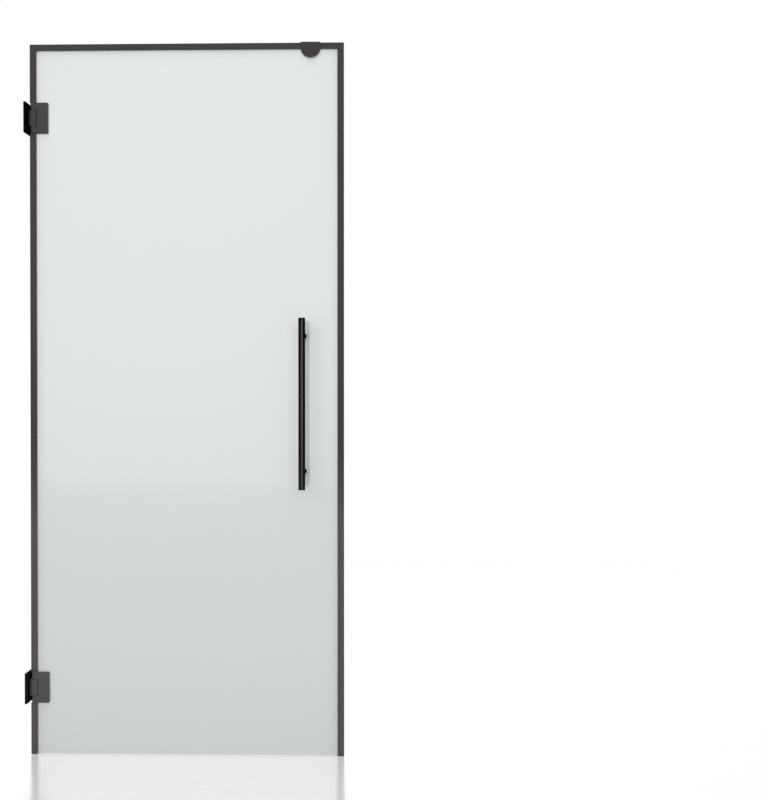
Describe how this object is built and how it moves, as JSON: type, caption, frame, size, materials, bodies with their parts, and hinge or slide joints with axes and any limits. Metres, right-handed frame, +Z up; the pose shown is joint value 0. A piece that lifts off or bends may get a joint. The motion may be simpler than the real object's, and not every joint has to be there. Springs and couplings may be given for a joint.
{
  "type": "glass door",
  "caption": "Satin glass door leaf with a slim black edge profile, black wall hinges, a long bar handle on each face and a half-round door stop.",
  "frame": {"origin": "middle of the lower hinge's wall plate, on the face that lies against the wall; the leaf's bottom edge is 193 mm below it", "axes": "+X from the wall along the closed leaf, +Y to the side the leaf opens to, +Z up"},
  "size_m": [0.9135, 0.1558, 2.042],
  "materials": {
    "satin_glass": "milky satin glass",
    "edge_profile": "black powder coat, satin",
    "hinge_coat": "matt black coat",
    "handle_coat": "matt black coat",
    "stop_plate": "matt black coat",
    "dark_screw": "black oxide",
    "bare_steel": "turned steel",
    "soft_strip": "black rubber",
    "soft_buffer": "black rubber",
    "bush": "black bearing plastic",
    "sleeve": "natural nylon"
  },
  "bodies": {
    "wall_side": {"lower_hinge_wall_plate": "hinge_coat", "lower_hinge_block": "hinge_coat", "lower_hinge_bushes": "bush", "lower_hinge_block_screws": "bare_steel", "upper_hinge_wall_plate": "hinge_coat", "upper_hinge_block": "hinge_coat", "upper_hinge_bushes": "bush", "upper_hinge_block_screws": "bare_steel", "stop_bracket": "stop_plate", "stop_buffer": "soft_buffer"},
    "leaf": {"glass_pane": "satin_glass", "top_profile": "edge_profile", "handle_side_profile": "edge_profile", "hinge_side_lower_profile": "edge_profile", "hinge_side_middle_profile": "edge_profile", "hinge_side_upper_profile": "edge_profile", "top_strip": "soft_strip", "handle_side_strip": "soft_strip", "hinge_side_lower_strip": "soft_strip", "hinge_side_middle_strip": "soft_strip", "hinge_side_upper_strip": "soft_strip", "lower_hinge_pin": "bare_steel", "lower_hinge_pin_screws": "dark_screw", "lower_hinge_front_clamp": "hinge_coat", "lower_hinge_back_clamp": "hinge_coat", "lower_hinge_front_gasket": "soft_strip", "lower_hinge_back_gasket": "soft_strip", "lower_hinge_clamp_screws": "dark_screw", "upper_hinge_pin": "bare_steel", "upper_hinge_pin_screws": "dark_screw", "upper_hinge_front_clamp": "hinge_coat", "upper_hinge_back_clamp": "hinge_coat", "upper_hinge_front_gasket": "soft_strip", "upper_hinge_back_gasket": "soft_strip", "upper_hinge_clamp_screws": "dark_screw", "front_handle_bar": "handle_coat", "front_handle_sleeves": "sleeve", "front_lower_standoff": "handle_coat", "front_upper_standoff": "handle_coat", "back_handle_bar": "handle_coat", "back_handle_sleeves": "sleeve", "back_lower_standoff": "handle_coat", "back_upper_standoff": "handle_coat", "handle_studs": "bare_steel", "back_standoff_screws": "dark_screw"}
  },
  "joints": [
    {"name": "leaf_swing", "type": "hinge", "parent": "wall_side", "child": "leaf", "pos_m": [0.0192, 0, 0], "axis": [0, 0, 1], "range_deg": [0, 90]}
  ]
}
